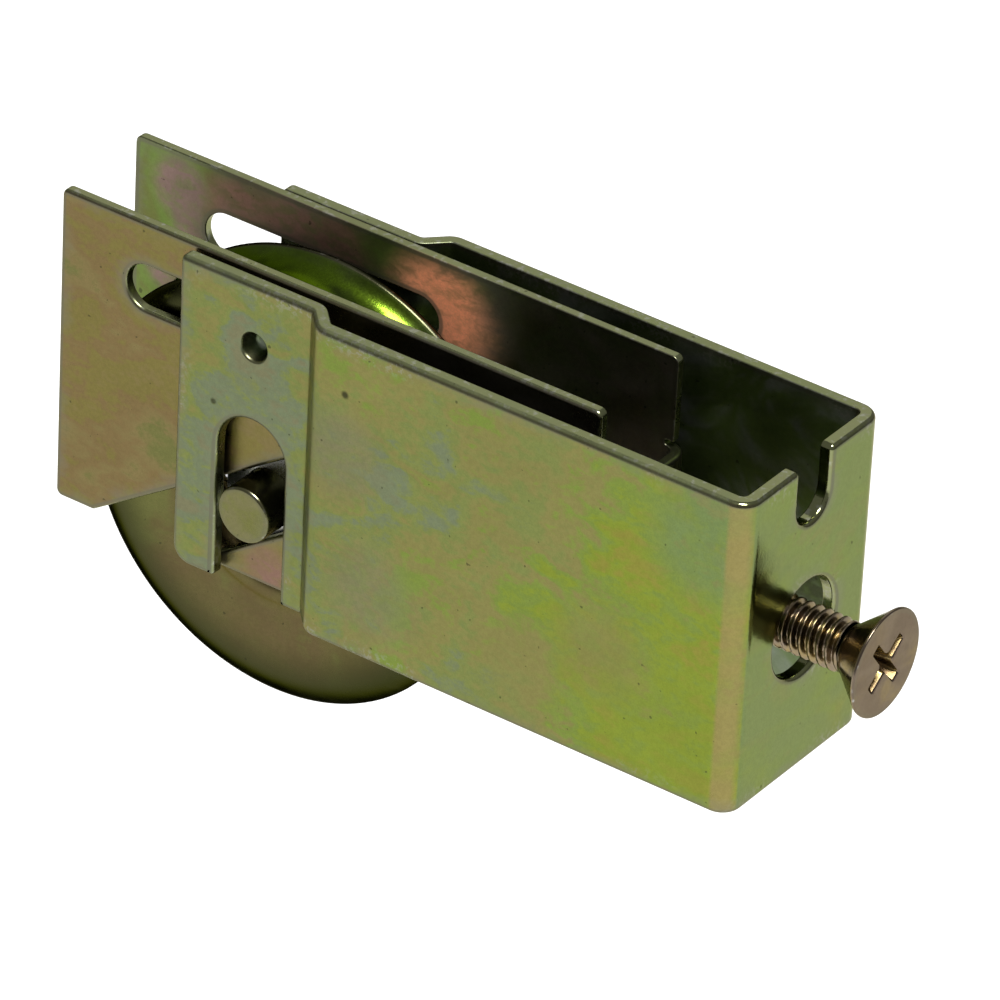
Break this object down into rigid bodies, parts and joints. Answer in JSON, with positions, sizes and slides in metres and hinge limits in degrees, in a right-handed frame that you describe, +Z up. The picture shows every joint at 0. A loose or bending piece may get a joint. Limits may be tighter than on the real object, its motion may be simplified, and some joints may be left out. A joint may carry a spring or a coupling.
{
  "type": "sliding door roller",
  "caption": "Steel sliding door roller: a grooved ball-bearing wheel in a stamped housing, raised and lowered by a screw that slides an inclined-slot carriage.",
  "frame": {"origin": "on the outer face of the housing's end wall, on the centre plane, midway between the notch and the screw hole", "axes": "+X out of the end wall along the screw, +Y across the housing, +Z up, away from the track"},
  "size_m": [0.073, 0.0176, 0.0382],
  "materials": {
    "housing_plate": "yellow zinc-dichromate plate, satin",
    "carriage_plate": "yellow zinc-dichromate plate, satin",
    "wheel_plate": "yellow zinc-dichromate plate, smooth",
    "screw_steel": "yellow zinc-dichromate plate, bright",
    "axle_steel": "yellow zinc-dichromate plate, bright",
    "race_steel": "plain turned steel",
    "ball_steel": "polished"
  },
  "bodies": {
    "housing": {"housing": "housing_plate"},
    "screw": {"adjusting_screw": "screw_steel"},
    "carriage": {"carriage": "carriage_plate"},
    "axle": {"axle": "axle_steel", "inner_race_near": "race_steel", "inner_race_far": "race_steel"},
    "wheel": {"wheel_shell_near": "wheel_plate", "wheel_shell_far": "wheel_plate"},
    "ball_ring": {"ball_1": "ball_steel", "ball_2": "ball_steel", "ball_3": "ball_steel", "ball_4": "ball_steel", "ball_5": "ball_steel", "ball_6": "ball_steel", "ball_7": "ball_steel", "ball_8": "ball_steel", "ball_9": "ball_steel", "ball_10": "ball_steel", "ball_11": "ball_steel", "ball_12": "ball_steel"}
  },
  "joints": [
    {"name": "carriage_slide", "type": "slide", "parent": "housing", "child": "carriage", "axis": [1, 0, 0], "range_m": [-0.00634, 0.00476]},
    {"name": "screw_turn", "type": "hinge", "parent": "housing", "child": "screw", "pos_m": [0, 0, -0.0067], "axis": [1, 0, 0], "range_deg": [-2160, 2880]},
    {"name": "axle_lift", "type": "slide", "parent": "housing", "child": "axle", "axis": [0, 0, 1], "range_m": [-0.0032, 0.0043]},
    {"name": "wheel_spin", "type": "hinge", "parent": "axle", "child": "wheel", "pos_m": [-0.04575, 0, -0.012], "axis": [0, 1, 0], "continuous": true},
    {"name": "ball_roll", "type": "hinge", "parent": "axle", "child": "ball_ring", "pos_m": [-0.04575, 0, -0.012], "axis": [0, 1, 0], "continuous": true}
  ],
  "couplings": [
    {"joint": "screw_turn", "follows": "carriage_slide", "rad_per_m": -7915.8},
    {"joint": "axle_lift", "follows": "carriage_slide", "ratio": -0.65938},
    {"joint": "ball_roll", "follows": "wheel_spin", "ratio": 0.62402}
  ]
}
